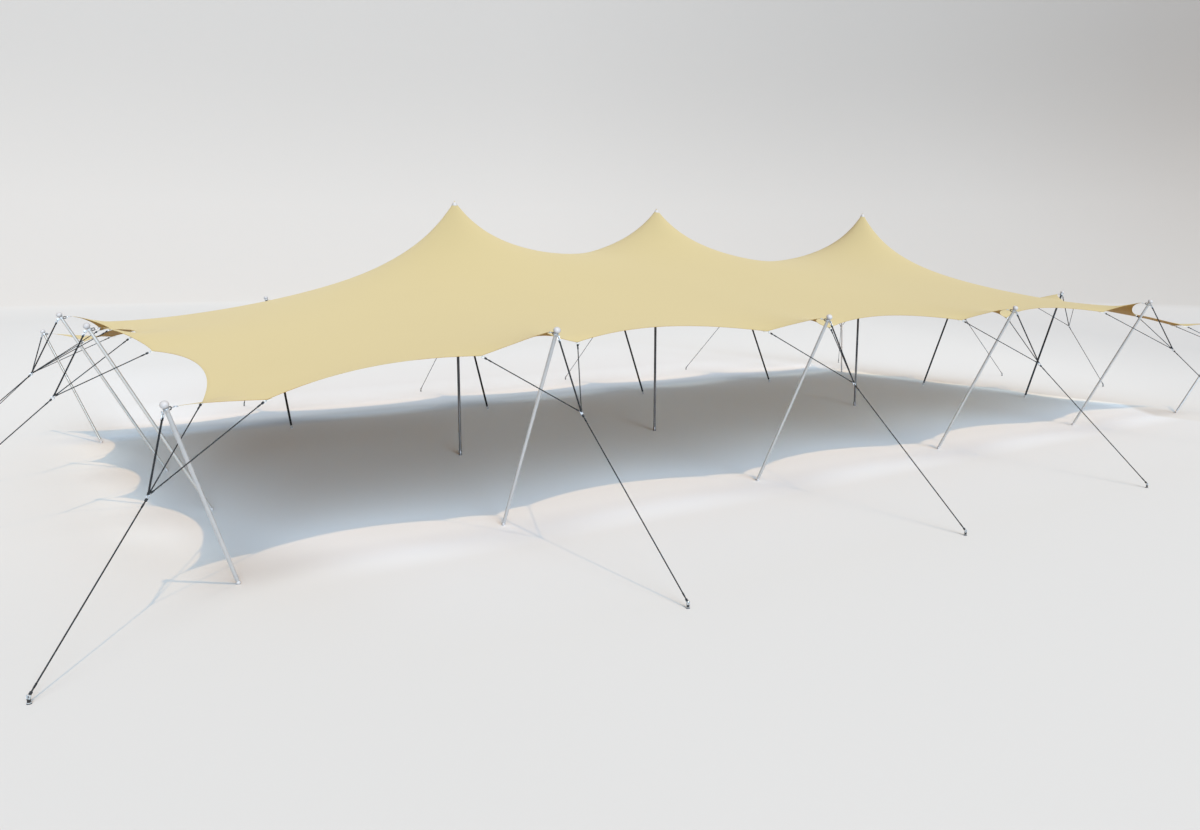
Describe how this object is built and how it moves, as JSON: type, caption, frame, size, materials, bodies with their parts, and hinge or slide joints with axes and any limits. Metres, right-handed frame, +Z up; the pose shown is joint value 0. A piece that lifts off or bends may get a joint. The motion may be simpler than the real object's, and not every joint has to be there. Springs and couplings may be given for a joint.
{
  "type": "stretch tent",
  "caption": "Long stretch-fabric canopy held up by king poles and leaning edge poles, tightened by bridles and guy ropes to ground anchors.",
  "frame": {"origin": "on the ground in the middle of the anchors", "axes": "+X along the tent, +Y across it and away from its front, +Z up"},
  "size_m": [27.941, 16.991, 4.645],
  "materials": {
    "cloth": "matt pale sand stretch cloth, darker seen from below",
    "king_pole_metal": "plain grey tube with a short pale sleeve at the foot",
    "pole_metal": "plain satin tube with a white ball on top and a small white ball foot",
    "guy_rope": "dark braided rope, thicker by the pole head, with pale metal rings",
    "anchor_metal": "dark anchor post on a round base, with a pale fork on top"
  },
  "bodies": {
    "root": {"canopy": "cloth", "king_pole_1": "king_pole_metal", "king_pole_2": "king_pole_metal", "king_pole_3": "king_pole_metal", "pole_front_1": "pole_metal", "guy_front_1": "guy_rope", "anchor_front_1": "anchor_metal", "pole_front_2": "pole_metal", "guy_front_2": "guy_rope", "anchor_front_2": "anchor_metal", "pole_front_3": "pole_metal", "guy_front_3": "guy_rope", "anchor_front_3": "anchor_metal", "pole_front_4": "pole_metal", "guy_front_4": "guy_rope", "anchor_front_4": "anchor_metal", "pole_back_1": "pole_metal", "guy_back_1": "guy_rope", "anchor_back_1": "anchor_metal", "pole_back_2": "pole_metal", "guy_back_2": "guy_rope", "anchor_back_2": "anchor_metal", "pole_back_3": "pole_metal", "guy_back_3": "guy_rope", "anchor_back_3": "anchor_metal", "pole_back_4": "pole_metal", "guy_back_4": "guy_rope", "anchor_back_4": "anchor_metal", "pole_left_1": "pole_metal", "guy_left_1": "guy_rope", "anchor_left_1": "anchor_metal", "pole_left_2": "pole_metal", "guy_left_2": "guy_rope", "anchor_left_2": "anchor_metal", "pole_right_1": "pole_metal", "guy_right_1": "guy_rope", "anchor_right_1": "anchor_metal", "pole_right_2": "pole_metal", "guy_right_2": "guy_rope", "anchor_right_2": "anchor_metal", "pole_corner_front_left": "pole_metal", "guy_corner_front_left": "guy_rope", "anchor_corner_front_left": "anchor_metal", "pole_corner_front_right": "pole_metal", "guy_corner_front_right": "guy_rope", "anchor_corner_front_right": "anchor_metal", "pole_corner_back_left": "pole_metal", "guy_corner_back_left": "guy_rope", "anchor_corner_back_left": "anchor_metal", "pole_corner_back_right": "pole_metal", "guy_corner_back_right": "guy_rope", "anchor_corner_back_right": "anchor_metal"}
  },
  "joints": []
}
